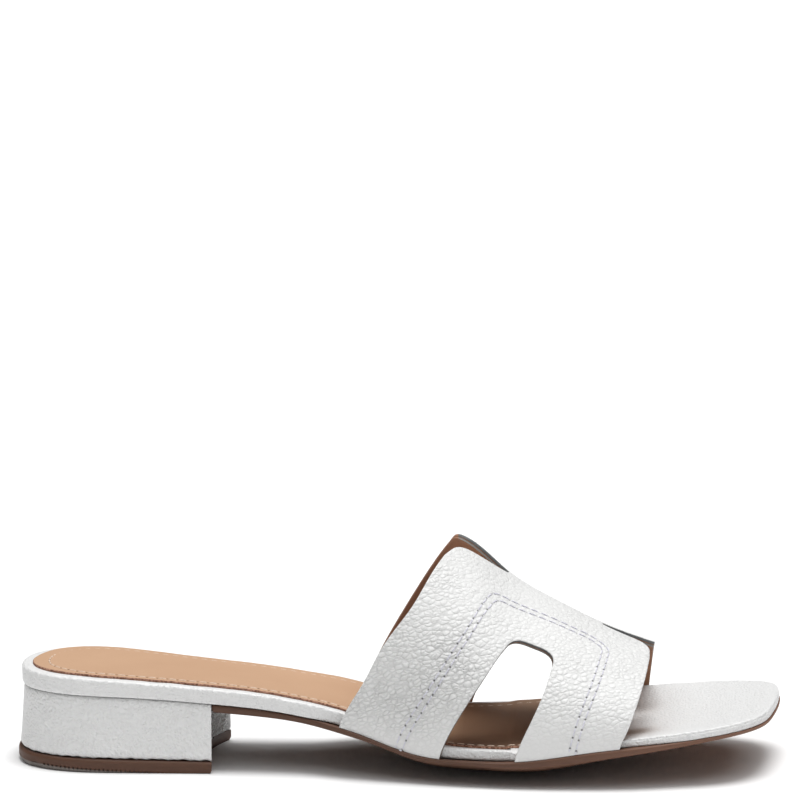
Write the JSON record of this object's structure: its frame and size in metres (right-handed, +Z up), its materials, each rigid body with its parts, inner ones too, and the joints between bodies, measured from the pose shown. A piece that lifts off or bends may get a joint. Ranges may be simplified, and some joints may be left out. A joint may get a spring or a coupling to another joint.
{
  "type": "sandal",
  "caption": "Slide sandal for the right foot with an H-cut white leather strap, a tan sock lining and a low block heel.",
  "frame": {"origin": "centre of the sandal's bounding box, on the floor it stands on", "axes": "+X from the heel to the toe, +Y from the lateral to the medial side, +Z up"},
  "size_m": [0.2496, 0.0874, 0.0727],
  "materials": {
    "outsole": "matt brown moulded sheet",
    "footbed": "white leather, fine grain",
    "sock_lining": "smooth tan lining leather",
    "upper": "white pebbled leather",
    "heel": "white leather, fine grain",
    "heel_top_lift": "matt brown top lift"
  },
  "bodies": {
    "root": {"outsole": "outsole", "footbed": "footbed", "sock_lining": "sock_lining", "upper": "upper", "heel": "heel", "heel_top_lift": "heel_top_lift"}
  },
  "joints": []
}
